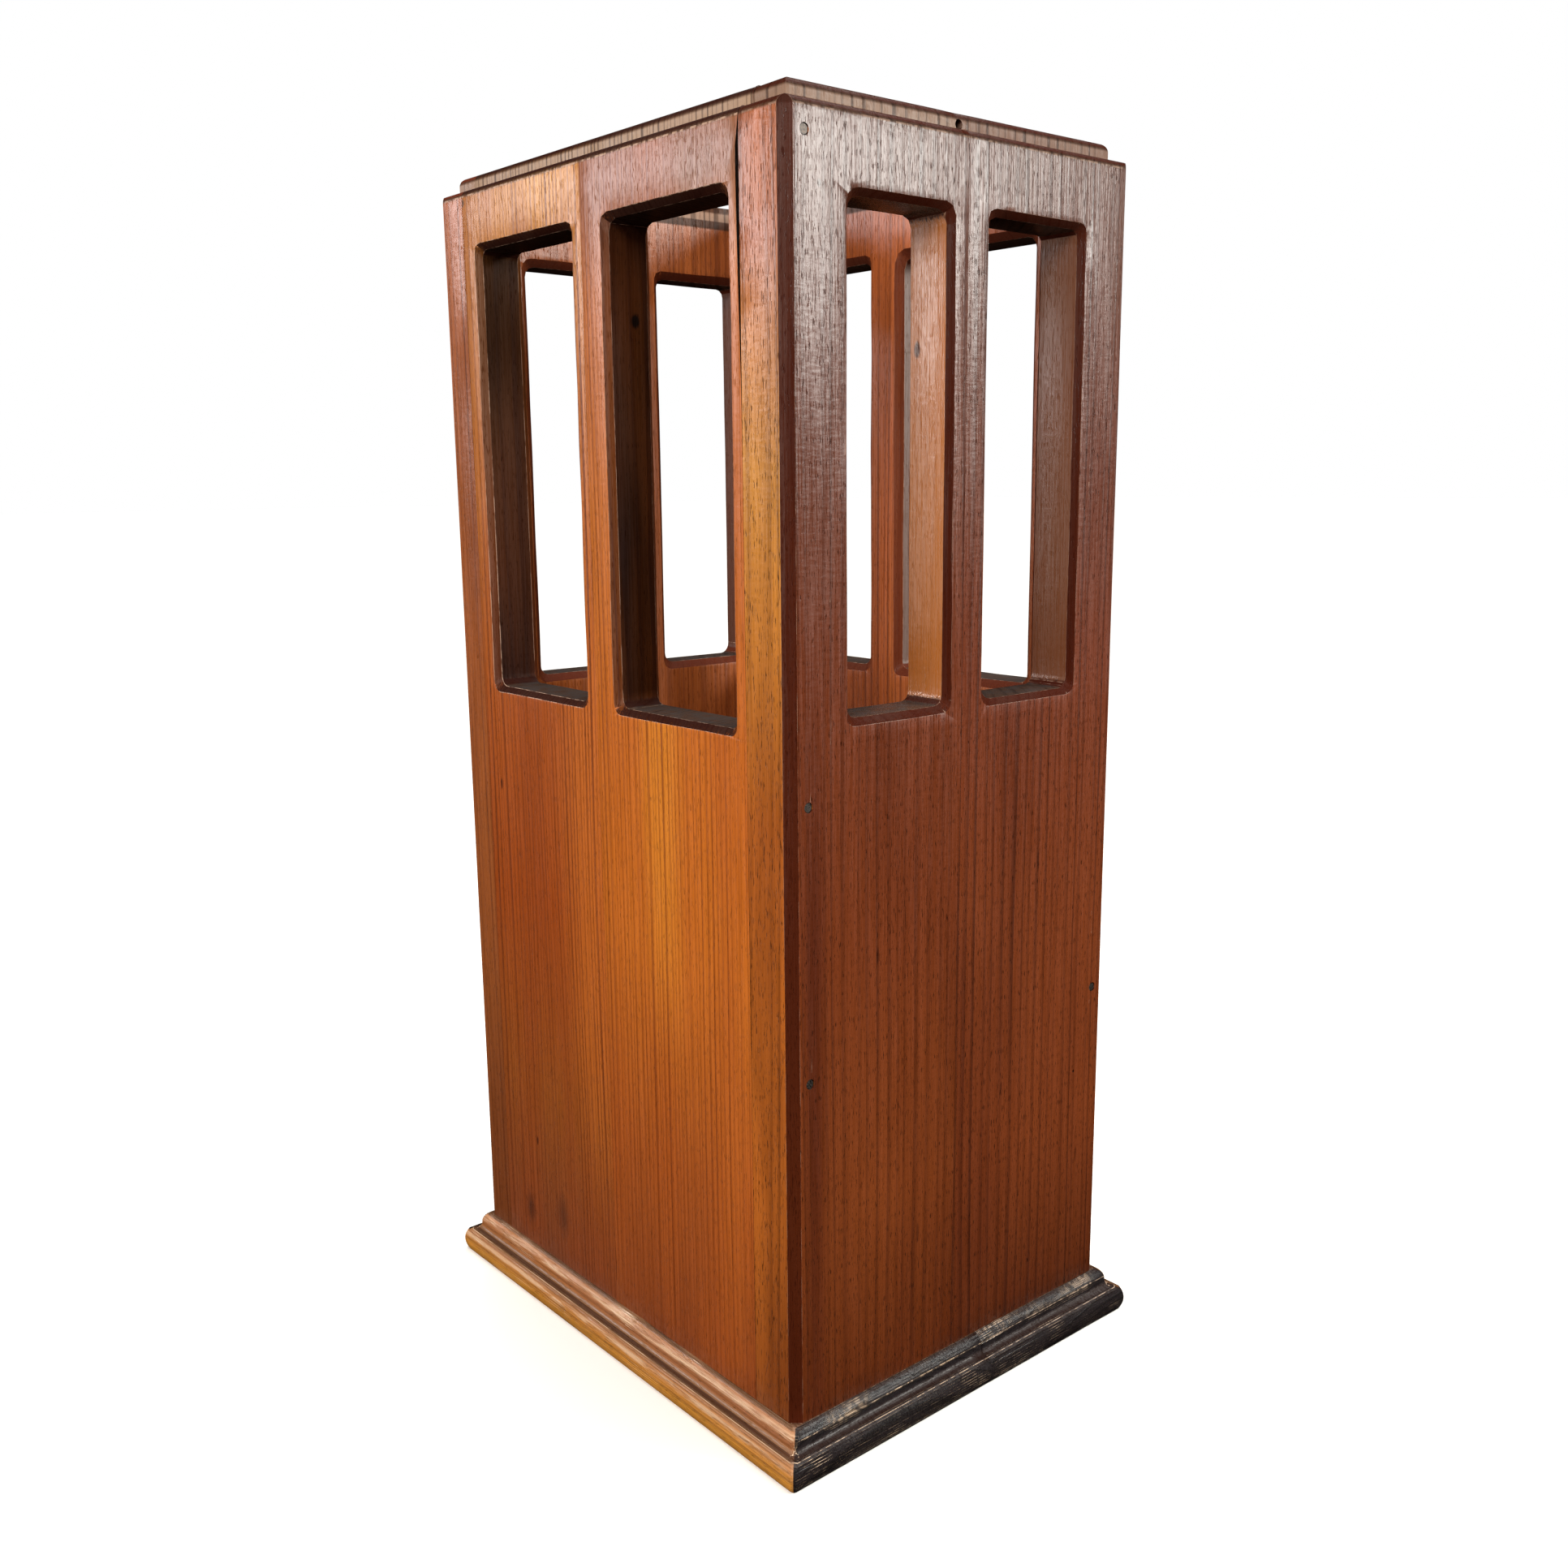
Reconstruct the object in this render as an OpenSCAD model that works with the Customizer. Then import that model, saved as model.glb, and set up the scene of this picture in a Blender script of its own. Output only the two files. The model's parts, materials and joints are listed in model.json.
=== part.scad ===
// Slotted umbrella stand of edge-glued boards, nailed to a moulded base board.
// Millimetres, +Z up, origin on the floor under the middle of the base.
// X runs left to right, Y runs front to back.

/* [Overall] */
// Width of the body across the front boards
body_w = 216; // [190:1:300]
// Depth of the body across the side boards
body_d = 276; // [220:1:360]
// Height from the floor to the top edge
total_h = 600; // [500:1:760]

/* [Boards] */
// Thickness of the front boards
front_t = 28; // [20:0.5:34]
// Thickness of the back boards
back_t = 24; // [20:0.5:34]
// Thickness of the side boards
side_t = 27; // [20:0.5:34]
// Thickness of the base boards
base_t = 23; // [22:0.5:40]
// Leg of the flat planed down each upright corner
corner_cut = 4.5; // [1:0.5:8]

/* [Glue lines] */
// Where the two front boards meet, from the middle
front_joint_x = -4; // [-6:0.5:5]
// Where the two back boards meet, from the middle
back_joint_x = 3; // [-6:0.5:5]
// Where the two left boards meet, from the middle
left_joint_y = 5.5; // [-5:0.5:8]
// Where the two right boards meet, from the middle
right_joint_y = -2; // [-5:0.5:8]
// Where the two base boards meet, from the middle
base_joint_x = 12; // [-30:0.5:30]

/* [Front slots] */
// Width of the rail between the slots
front_rail = 26.2; // [20:0.2:40]
// Middle of that rail, from the middle of the body
front_rail_x = -1.4; // [-3:0.2:3]
// Strip left between a slot and the inner face of the side boards
front_inset = 8.3; // [5:0.1:20]
// Height of the front slots
front_slot_h = 213; // [80:1:230]
// Height of the rail above the front and back slots
front_top_rail = 42; // [26:1:80]

/* [Back slots] */
// Width of the rail between the slots
back_rail = 26.2; // [20:0.2:40]
// Middle of that rail, from the middle of the body
back_rail_x = 1.5; // [-3:0.5:3]
// Strip left between the left slot and the inner face of the left boards
back_inset_left = 10.5; // [5:0.1:20]
// Strip left between the right slot and the inner face of the right boards
back_inset_right = 5.4; // [5:0.1:20]
// Height of the back slots
back_slot_h = 217; // [80:1:230]

/* [Side slots] */
// Width of the left wall's rail between the slots
left_rail = 28.8; // [22:0.2:40]
// Middle of that rail, from the middle of the body
left_rail_y = 1.5; // [-3:0.5:3]
// Width of the right wall's rail between the slots
right_rail = 25.4; // [22:0.2:40]
// Middle of that rail, from the middle of the body
right_rail_y = 2.5; // [-3:0.5:3]
// Strip left between a slot and the inner face of the front boards
side_inset_front = 9.5; // [5:0.5:30]
// Strip left between a slot and the inner face of the back boards
side_inset_back = 13.5; // [5:0.5:30]
// Height of the left slots
left_slot_h = 221; // [80:1:230]
// Height of the right slots
right_slot_h = 218.5; // [80:0.5:230]
// Height of the rail above the side slots
side_top_rail = 39; // [36:1:80]

/* [Slot edges] */
// Radius of the slots' corners
slot_corner_r = 5; // [2:0.5:10]
// Leg of the flat round each slot's outer edge
slot_edge = 3; // [0.5:0.5:4]
// Leg of the flat round each slot's inner edge
slot_edge_in = 3.8; // [0.5:0.1:4.5]

/* [Top moulding] */
// Height of the step cut round the top
step_h = 13; // [11:0.5:14]
// How far the step is set in from the wall's face
step_in = 8; // [6:0.5:12]
// Height of the ledge below the step
ledge_h = 4.4; // [4:0.1:6]
// Radius of the ledge's outer edge
ledge_r = 3.8; // [1:0.1:4]
// Radius of the cove at the foot of the step
step_cove_r = 1.8; // [0.5:0.1:2]
// Radius of the top outer edge
step_round_r = 4; // [1:0.1:5]

/* [Base moulding] */
// How far the base stands out past the body
base_out = 12; // [10:0.5:20]
// Radius of the upper round, next to the body
ovolo_r = 6; // [3:0.1:7]
// How far the upper round stands out past the body
ovolo_out = 4.3; // [2:0.1:6]
// Radius of the cove below the upper round
base_cove_r = 2.8; // [1:0.1:3]
// Height of the upright between the upper round and the cove
base_fillet = 0.8; // [0:0.1:2]
// Fall of the slope between the cove and the lower round
base_slope = 1.8; // [0.5:0.1:3]
// How far the lower round draws in at its top and its foot
base_draw = 1.5; // [0.5:0.1:3]

/* [Nails] */
// Diameter of a nail's head
nail_head_d = 4; // [3:0.1:6]
// Length of a nail's head
nail_head_l = 2.2; // [1:0.1:4]
// Diameter of a nail's shank
nail_shank_d = 2.8; // [1.5:0.1:2.9]
// Length of a nail
nail_l = 60; // [50:1:65]
// Depth of a nail's head below the surface
nail_sunk = 0.4; // [0.2:0.1:1]
// Distance of the wall nails from the outer face of the side boards
nail_edge = 10.4; // [8:0.2:12]
// Height of the top wall nails above the side slots
nail_over_slot = 18; // [8:1:18]
// Drop of the middle wall nails below the side slots
nail_under_slot = 30; // [10:1:40]
// Drop of the lowest wall nails below the middle ones
nail_spacing = 124; // [60:1:130]
// Distance of the front and back base nails from the middle
base_nail_x = 60; // [35:1:75]
// Distance of the side base nails from the middle
base_nail_y = 70; // [40:1:95]

/* [Old hole] */
// Diameter of the old nail hole in the front's top step
old_hole_d = 4.5; // [2:0.1:5]
// Depth of that hole
old_hole_l = 12; // [4:0.5:12]
// Distance of that hole from the front glue line
old_hole_off = 1.6; // [-2:0.1:2]
// Height of that hole above the ledge
old_hole_up = 3.2; // [2:0.1:4]

/* [Hidden] */
$fn = 48;
arc_steps = 8;
// How far a cut runs past the surface it opens
past = 1;

half_w = body_w / 2;
half_d = body_d / 2;
side_in = half_w - side_t;
front_in = front_t - half_d;
back_in = half_d - back_t;

ledge_z = total_h - step_h + ledge_h;
// The slots of each wall, as [from, to] across it
front_slots = slots(front_inset - side_in, side_in - front_inset, front_rail_x, front_rail);
back_slots = slots(back_inset_left - side_in, side_in - back_inset_right, back_rail_x, back_rail);
left_slots = slots(front_in + side_inset_front, back_in - side_inset_back, left_rail_y, left_rail);
right_slots = slots(front_in + side_inset_front, back_in - side_inset_back, right_rail_y, right_rail);
end_slot_top = total_h - front_top_rail;
side_slot_top = total_h - side_top_rail;
side_slot_foot = side_slot_top - max(left_slot_h, right_slot_h);

cove_top_z = base_t - ovolo_r - base_fillet;
nose_top_z = cove_top_z - base_cove_r - base_slope;
nose_r = (pow(nose_top_z / 2, 2) + pow(base_draw, 2)) / (2 * base_draw);
nose_turn = asin(nose_top_z / 2 / nose_r);

nail_x = half_w - nail_edge;
nail_mid_z = side_slot_foot - nail_under_slot;
nail_z = [nail_mid_z - nail_spacing, nail_mid_z, side_slot_top + nail_over_slot];
nail_taper_l = nail_head_l / 2;
nail_tip_l = nail_shank_d * 1.5;
nail_tip_r = nail_shank_d / 10;
base_nails_at = [for (side = [-1, 1])
  each [[side * base_nail_x, front_in - front_t / 2], [side * base_nail_x, back_in + back_t / 2],
        [side * (side_in + side_t / 2), -base_nail_y], [side * (side_in + side_t / 2), base_nail_y]]];

// The two slots between a wall's first and last edge, on both sides of its rail
function slots(first, last, rail_at, rail) = [[first, rail_at - rail / 2], [rail_at + rail / 2, last]];

// Points along an arc
function arc(x, z, r, from, to) = [for (i = [0 : arc_steps])
  let (a = from + (to - from) * i / arc_steps) [x + r * cos(a), z + r * sin(a)]];

// The edge of the walls from the base up, as [distance out from the wall's face, height]
function wall_edge() = concat(
  [[0, base_t]],
  arc(-ledge_r, ledge_z - ledge_r, ledge_r, 0, 90),
  arc(step_cove_r - step_in, ledge_z + step_cove_r, step_cove_r, -90, -180),
  arc(-step_in - step_round_r, total_h - step_round_r, step_round_r, 0, 90));

// The edge of the base from the floor up
function base_edge() = concat(
  arc(base_out - nose_r, nose_top_z / 2, nose_r, -nose_turn, nose_turn),
  arc(ovolo_out + base_cove_r, cove_top_z, base_cove_r, 270, 180),
  arc(ovolo_out - ovolo_r, base_t - ovolo_r, ovolo_r, 0, 90));

// An edge on both sides of a body of a given half width
function both_sides(half, edge) = let (last = len(edge) - 1) concat(
  [for (p = edge) [half + p[0], p[1]]],
  [for (i = [0 : last]) [-half - edge[last - i][0], edge[last - i][1]]]);

// A block whose four sides follow one edge, mitred at the corners
module moulded_block(edge) {
  run = 2 * (max(half_w, half_d) + base_out + past);
  intersection() {
    translate([0, run / 2, 0]) rotate([90, 0, 0]) linear_extrude(run) polygon(both_sides(half_w, edge));
    translate([-run / 2, 0, 0]) rotate([90, 0, 90]) linear_extrude(run) polygon(both_sides(half_d, edge));
  }
}

// The flat down each upright corner, as an outline seen from above
module corner_outline() {
  difference() {
    square([body_w, body_d], center = true);
    for (x = [-1, 1], y = [-1, 1])
      translate([x * half_w, y * half_d]) rotate(45)
        square(corner_cut * sqrt(2), center = true);
  }
}

// The part of the box between two opposite corners
module wall_board(low, high) {
  intersection() {
    moulded_block(wall_edge());
    linear_extrude(total_h + past) corner_outline();
    translate(low) cube(high - low);
  }
}

// The flat round a slot's edge, sunk a leg's depth below Z = 0
module slot_flare(in_w, in_h, leg) {
  wide = slot_corner_r + leg + past;
  flare = [[-slot_corner_r, -leg], [slot_corner_r, -leg], [wide, past], [-wide, past]];
  for (x = [-1, 1]) translate([x * in_w / 2, in_h / 2, 0])
    rotate([90, 0, 0]) linear_extrude(in_h) polygon(flare);
  for (y = [-1, 1]) translate([-in_w / 2, y * in_h / 2, 0])
    rotate([90, 0, 90]) linear_extrude(in_w) polygon(flare);
  for (x = [-1, 1], y = [-1, 1]) translate([x * in_w / 2, y * in_h / 2, -leg])
    cylinder(h = leg + past, r1 = slot_corner_r, r2 = wide);
}

// A slot cut down from Z = 0 through a board, with round corners and both edges flatted
module slot_cut(w, h, t) {
  in_w = w - 2 * slot_corner_r;
  in_h = h - 2 * slot_corner_r;
  translate([0, 0, -t - past]) linear_extrude(t + 2 * past) {
    square([w, in_h], center = true);
    square([in_w, h], center = true);
    for (x = [-1, 1], y = [-1, 1]) translate([x * in_w / 2, y * in_h / 2]) circle(slot_corner_r);
  }
  slot_flare(in_w, in_h, slot_edge);
  translate([0, 0, -t]) mirror([0, 0, 1]) slot_flare(in_w, in_h, slot_edge_in);
}

// A slot through the front (side -1) or back (side 1) boards
module front_slot(span, side, t) {
  h = side < 0 ? front_slot_h : back_slot_h;
  translate([(span[0] + span[1]) / 2, side * half_d, end_slot_top - h / 2])
    rotate([-side * 90, 0, 0]) slot_cut(span[1] - span[0], h, t);
}

// A slot through the left (side -1) or right (side 1) boards
module side_slot(span, side) {
  h = side < 0 ? left_slot_h : right_slot_h;
  translate([side * half_w, (span[0] + span[1]) / 2, side_slot_top - h / 2])
    rotate([0, side * 90, 0]) slot_cut(h, span[1] - span[0], side_t);
}

// One lost-head nail, pointing down from Z = 0
module nail() {
  taper_z = -nail_head_l;
  tip_z = nail_tip_l - nail_l;
  translate([0, 0, taper_z + nail_taper_l]) cylinder(h = nail_head_l - nail_taper_l, d = nail_head_d);
  translate([0, 0, taper_z]) cylinder(h = nail_taper_l, d1 = nail_shank_d, d2 = nail_head_d);
  translate([0, 0, tip_z]) cylinder(h = taper_z - tip_z, d = nail_shank_d);
  translate([0, 0, -nail_l]) cylinder(h = nail_tip_l, r1 = nail_tip_r, d2 = nail_shank_d);
}

// The hole a nail leaves, with its sunk head's recess
module nail_hole() {
  nail();
  translate([0, 0, -nail_head_l / 2]) cylinder(h = nail_head_l / 2 + nail_sunk + past, d = nail_head_d);
}

// Where the wall nails go in at the front (side -1) or the back (side 1)
module at_wall_nails(side) {
  for (x = [-nail_x, nail_x], z = nail_z)
    translate([x, side * (half_d - nail_sunk), z]) rotate([-side * 90, 0, 0]) children();
}

// Where the base nails go in, from below
module at_base_nails() {
  for (p = base_nails_at) translate([p[0], p[1], nail_sunk]) rotate([180, 0, 0]) children();
}

module old_hole() {
  translate([front_joint_x + old_hole_off, step_in - half_d - past, ledge_z + old_hole_up])
    rotate([-90, 0, 0]) cylinder(h = old_hole_l + past, d = old_hole_d);
}

// The half of the front or back wall between two distances from the middle
module end_stave(side, x_from, x_to, slot) {
  y_from = side < 0 ? -half_d : back_in;
  y_to = side < 0 ? front_in : half_d;
  difference() {
    wall_board([x_from, y_from, base_t], [x_to, y_to, total_h + past]);
    front_slot(slot, side, y_to - y_from);
    at_wall_nails(side) nail_hole();
    at_base_nails() nail_hole();
    if (side < 0) old_hole();
  }
}

// The half of the left or right wall between two distances from the middle
module side_stave(side, y_from, y_to, slot) {
  x_from = side < 0 ? -half_w : side_in;
  difference() {
    wall_board([x_from, y_from, base_t], [x_from + side_t, y_to, total_h + past]);
    side_slot(slot, side);
    for (end = [-1, 1]) at_wall_nails(end) nail_hole();
    at_base_nails() nail_hole();
  }
}

module base_board(x_from, x_to) {
  reach = half_d + base_out + past;
  difference() {
    intersection() {
      moulded_block(base_edge());
      translate([x_from, -reach, -past]) cube([x_to - x_from, 2 * reach, base_t + 2 * past]);
    }
    at_base_nails() nail_hole();
  }
}

module front_stave_left() { color("#6b3d1e") end_stave(-1, -half_w, front_joint_x, front_slots[0]); }
module front_stave_right() { color("#6f3f20") end_stave(-1, front_joint_x, half_w, front_slots[1]); }
module back_stave_left() { color("#7d4520") end_stave(1, -half_w, back_joint_x, back_slots[0]); }
module back_stave_right() { color("#784221") end_stave(1, back_joint_x, half_w, back_slots[1]); }
module left_stave_front() { color("#a85a22") side_stave(-1, front_in, left_joint_y, left_slots[0]); }
module left_stave_back() { color("#9c5022") side_stave(-1, left_joint_y, back_in, left_slots[1]); }
module right_stave_front() { color("#7f4822") side_stave(1, front_in, right_joint_y, right_slots[0]); }
module right_stave_back() { color("#7a4420") side_stave(1, right_joint_y, back_in, right_slots[1]); }
module base_board_left() { color("#8c5c2c") base_board(-half_w - base_out - past, base_joint_x); }
module base_board_right() { color("#7c4f28") base_board(base_joint_x, half_w + base_out + past); }
module front_nails() { color("#4a4642") at_wall_nails(-1) nail(); }
module back_nails() { color("#4a4642") at_wall_nails(1) nail(); }
module base_nails() { color("#4a4642") at_base_nails() nail(); }

front_stave_left();
front_stave_right();
back_stave_left();
back_stave_right();
left_stave_front();
left_stave_back();
right_stave_front();
right_stave_back();
base_board_left();
base_board_right();
front_nails();
back_nails();
base_nails();
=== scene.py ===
import bpy
import json
import math
from mathutils import Matrix, Vector, noise


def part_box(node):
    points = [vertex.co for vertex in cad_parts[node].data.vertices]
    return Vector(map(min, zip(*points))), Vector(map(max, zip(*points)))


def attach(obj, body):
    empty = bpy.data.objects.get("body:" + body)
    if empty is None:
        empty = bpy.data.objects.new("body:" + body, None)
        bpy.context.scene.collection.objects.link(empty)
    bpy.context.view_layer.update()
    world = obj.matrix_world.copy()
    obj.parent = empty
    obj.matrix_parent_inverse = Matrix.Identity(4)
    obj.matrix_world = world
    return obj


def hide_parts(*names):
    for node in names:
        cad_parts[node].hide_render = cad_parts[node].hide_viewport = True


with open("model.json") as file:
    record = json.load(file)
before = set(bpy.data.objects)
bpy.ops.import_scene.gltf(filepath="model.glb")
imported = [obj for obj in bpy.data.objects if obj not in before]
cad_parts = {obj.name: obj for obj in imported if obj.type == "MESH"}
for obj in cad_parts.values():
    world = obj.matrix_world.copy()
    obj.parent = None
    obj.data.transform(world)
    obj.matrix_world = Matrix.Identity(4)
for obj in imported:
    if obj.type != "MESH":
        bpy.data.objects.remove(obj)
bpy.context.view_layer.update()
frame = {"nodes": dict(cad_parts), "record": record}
openings = {o["name"]: o["box_m"] for o in frame["record"]["physics"]["openings"]}
mm = 0.001

print("stage: camera")
camera = {
    "place": (-506.5, -604.5, 444.7),
    "turn": -40.286,  # degrees, turned right from looking along +Y
    "tiltDown": 11.329,
    "roll": -0.555,
    "lens": 34.528,
    "sensor": 36.0,
}
cameraData = bpy.data.cameras.new("camera")
cameraObject = bpy.data.objects.new("camera", cameraData)
bpy.context.scene.collection.objects.link(cameraObject)
cameraData.lens = camera["lens"]
cameraData.sensor_width = camera["sensor"]
cameraData.clip_start = 10 * mm
cameraObject.matrix_world = (
    Matrix.Translation(Vector(camera["place"]) * mm)
    @ Matrix.Rotation(math.radians(camera["turn"]), 4, "Z")
    @ Matrix.Rotation(math.radians(90 - camera["tiltDown"]), 4, "X")
    @ Matrix.Rotation(math.radians(camera["roll"]), 4, "Z")
)
bpy.context.scene.camera = cameraObject


# workshop tools

def onlySelect(piece):
    bpy.ops.object.select_all(action="DESELECT")
    piece.select_set(True)
    bpy.context.view_layer.objects.active = piece


def block(name, low, high):
    bpy.ops.object.select_all(action="DESELECT")
    bpy.ops.mesh.primitive_cube_add(size=1, location=(low + high) / 2, scale=high - low)
    piece = bpy.context.active_object
    piece.name = name
    bpy.ops.object.transform_apply(location=True, rotation=True, scale=True)
    return piece


def drill(name, centre, radius, depth, turn, sides=24):
    bpy.ops.object.select_all(action="DESELECT")
    bpy.ops.mesh.primitive_cylinder_add(vertices=sides, radius=radius, depth=depth,
                                        location=centre, rotation=turn)
    piece = bpy.context.active_object
    piece.name = name
    bpy.ops.object.transform_apply(location=True, rotation=True, scale=True)
    return piece


def copyOf(piece, name):
    twin = piece.copy()
    twin.data = piece.data.copy()
    twin.name = name
    bpy.context.scene.collection.objects.link(twin)
    return twin


def sawOff(piece, point, normal):  # what lies past the plane falls away
    onlySelect(piece)
    bpy.ops.object.mode_set(mode="EDIT")
    bpy.ops.mesh.select_all(action="SELECT")
    bpy.ops.mesh.bisect(plane_co=point, plane_no=normal, use_fill=True, clear_outer=True)
    bpy.ops.object.mode_set(mode="OBJECT")


def score(piece, axis, places):  # lines across the piece, so that it can be shaped between them
    onlySelect(piece)
    bpy.ops.object.mode_set(mode="EDIT")
    normal = [0, 0, 0]
    normal[axis] = 1
    for place in places:
        point = [0, 0, 0]
        point[axis] = place
        bpy.ops.mesh.select_all(action="SELECT")
        bpy.ops.mesh.bisect(plane_co=point, plane_no=normal)
    bpy.ops.object.mode_set(mode="OBJECT")


def cutAway(piece, cutter):
    onlySelect(piece)
    cut = piece.modifiers.new("cut", "BOOLEAN")
    cut.operation = "DIFFERENCE"
    cut.solver = "EXACT"
    cut.object = cutter
    bpy.ops.object.modifier_apply(modifier=cut.name)
    bpy.data.objects.remove(cutter)


def spread(low, high, step):  # even places between two ends
    count = max(1, round((high - low) / step))
    return [low + (high - low) * i / count for i in range(1, count)]


def arc(outwards, height, radius, start, end, steps=7):
    turns = [math.radians(start + (end - start) * i / steps) for i in range(steps + 1)]
    return [(outwards + radius * math.cos(t), height + radius * math.sin(t)) for t in turns]


def raiseMoulding(name, halfWide, halfDeep, profile):  # a solid whose sides follow a moulding
    out, height = profile[0]
    bpy.ops.object.select_all(action="DESELECT")
    bpy.ops.mesh.primitive_plane_add(size=2, location=(0, 0, height * mm))
    piece = bpy.context.active_object
    piece.name = name
    piece.scale = ((halfWide + out) * mm, (halfDeep + out) * mm, 1)
    bpy.ops.object.transform_apply(location=True, rotation=True, scale=True)
    bpy.ops.object.mode_set(mode="EDIT")
    bpy.ops.mesh.select_all(action="SELECT")
    for nextOut, nextHeight in profile[1:]:
        wider = (halfWide + nextOut) / (halfWide + out)
        deeper = (halfDeep + nextOut) / (halfDeep + out)
        bpy.ops.mesh.extrude_region_move(
            TRANSFORM_OT_translate={"value": (0, 0, (nextHeight - height) * mm)})
        bpy.ops.transform.resize(value=(wider, deeper, 1), center_override=(0, 0, nextHeight * mm))
        out, height = nextOut, nextHeight
    bpy.ops.mesh.select_all(action="SELECT")
    bpy.ops.mesh.remove_doubles(threshold=0.01 * mm)
    bpy.ops.mesh.normals_make_consistent(inside=False)
    bpy.ops.object.mode_set(mode="OBJECT")
    return piece


print("stage: walls")
walls = {
    "halfWide": 108,
    "halfDeep": 138,
    "foot": 23,
    "top": 600,
    "step": 13,
    "stepIn": 8,
    "ledge": 4.4,
    "ledgeRound": 3.8,
    "cove": 1.8,
    "topRound": 4,
    "cornerFlat": 4.5,
    "easedArris": 0.35,
}
ledgeAt = walls["top"] - walls["step"] + walls["ledge"]
wallProfile = (
    [(0, walls["foot"])]
    + arc(-walls["ledgeRound"], ledgeAt - walls["ledgeRound"], walls["ledgeRound"], 0, 90)
    + arc(walls["cove"] - walls["stepIn"], ledgeAt + walls["cove"], walls["cove"], -90, -180, 4)
    + arc(-walls["stepIn"] - walls["topRound"], walls["top"] - walls["topRound"],
          walls["topRound"], 0, 90)
)
wallBlock = raiseMoulding("wallBlock", walls["halfWide"], walls["halfDeep"], wallProfile)
for x in (-1, 1):
    for y in (-1, 1):
        corner = Vector((x * (walls["halfWide"] - walls["cornerFlat"] / 2),
                         y * (walls["halfDeep"] - walls["cornerFlat"] / 2), 0))
        sawOff(wallBlock, corner * mm, (x, y, 0))

slots = {
    "clear": 1.6,  # how far each stated opening stays inside its slot
    "flare": 3.0,  # flat round the outer edge
    "ease": 3.8,  # flat round the inner edge
    "past": 1.0,
    "waviness": 0.35,  # of the sawn sides
    "waves": 23,
    "chipping": 0.8,  # of the flats round the edges
    "chips": 31,
    "corners": (5.4, 4.2, 6.2, 4.8),
    "cornerSteps": (4, 2, 5, 3),
}


def slotCutter(name, opening, outer, inner, across, seed):
    through = 1 - across
    side = 1 if outer > inner else -1
    low, high = Vector(opening[0]), Vector(opening[1])
    for axis in (across, 2):
        low[axis] -= slots["clear"] * mm
        high[axis] += slots["clear"] * mm
    ends = sorted((outer - side * slots["flare"] * mm, inner + side * slots["ease"] * mm))
    low[through], high[through] = ends
    cutter = block(name, low, high)
    centre = (low + high) / 2
    corners = [(a, z) for a in (low[across], high[across]) for z in (low[2], high[2])]
    for i, (a, z) in enumerate(corners):
        onlySelect(cutter)
        bpy.ops.object.mode_set(mode="EDIT")
        bpy.ops.mesh.select_all(action="DESELECT")
        bpy.ops.object.mode_set(mode="OBJECT")
        points = cutter.data.vertices
        for e in cutter.data.edges:
            e.select = all(abs(points[v].co[across] - a) < 0.1 * mm and abs(points[v].co[2] - z) < 0.1 * mm
                           for v in e.vertices)
        bpy.ops.object.mode_set(mode="EDIT")
        bpy.ops.mesh.bevel(offset=slots["corners"][(i + seed) % 4] * mm,
                           segments=slots["cornerSteps"][(i + 2 * seed) % 4], affect="EDGES")
        bpy.ops.object.mode_set(mode="OBJECT")
    score(cutter, 2, spread(low[2], high[2], 24 * mm))
    score(cutter, across, spread(low[across], high[across], 20 * mm))
    for v in cutter.data.vertices:
        where = Vector((v.co[across] * slots["waves"] + seed * 7.3, v.co[2] * slots["waves"], seed))
        v.co[across] += slots["waviness"] * mm * noise.noise(where)
        v.co[2] += slots["waviness"] * mm * noise.noise(where + Vector((9, 4, 2)))
    for end, leg in ((side, slots["flare"]), (-side, slots["ease"])):
        reach = (leg + slots["past"]) * mm
        onlySelect(cutter)
        bpy.ops.object.mode_set(mode="EDIT")
        bpy.ops.mesh.select_all(action="DESELECT")
        bpy.ops.object.mode_set(mode="OBJECT")
        for p in cutter.data.polygons:
            p.select = p.normal[through] * end > 0.9
        bpy.ops.object.mode_set(mode="EDIT")
        move = [0, 0, 0]
        move[through] = end * reach
        grow = [1, 1, 1]
        grow[across] = 1 + 2 * reach / (high[across] - low[across])
        grow[2] = 1 + 2 * reach / (high[2] - low[2])
        bpy.ops.mesh.extrude_region_move(TRANSFORM_OT_translate={"value": move})
        bpy.ops.transform.resize(value=grow, center_override=centre)
        bpy.ops.object.mode_set(mode="OBJECT")
        for v in cutter.data.vertices:
            if v.select:
                where = Vector((v.co[across] * slots["chips"] + seed, v.co[2] * slots["chips"], seed * 3.1))
                v.co[across] += slots["chipping"] * mm * noise.noise(where)
                v.co[2] += slots["chipping"] * mm * noise.noise(where + Vector((5, 1, 8)))
    onlySelect(cutter)
    bpy.ops.object.mode_set(mode="EDIT")
    bpy.ops.mesh.select_all(action="SELECT")
    bpy.ops.mesh.normals_make_consistent(inside=False)
    bpy.ops.object.mode_set(mode="OBJECT")
    return cutter


nails = {
    "fromMiddle": 97.6,
    "heights": (186, 310, 579),
    "recess": 2.35,  # radius of the crushed wood round each head
    "recessDepth": 1.3,
    "pastFace": 2.0,
    "shown": {"front_stave_left": (186, 310, 579), "front_stave_right": (186,),
              "back_stave_left": (186, 310, 579), "back_stave_right": (310, 579)},
}
oldHole = {"x": -2.4, "z": 594.6, "radius": 2.25, "depth": 12}
pinHole = {"x": 84.5, "z": 143, "radius": 0.7, "depth": 3}
gap = {"node": "left_stave_front", "wide": 2.0, "low": 0.15, "top": 586, "open": 575, "shut": 455}


def smooth(value, start, end):
    t = min(1, max(0, (value - start) / (end - start)))
    return t * t * (3 - 2 * t)


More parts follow.
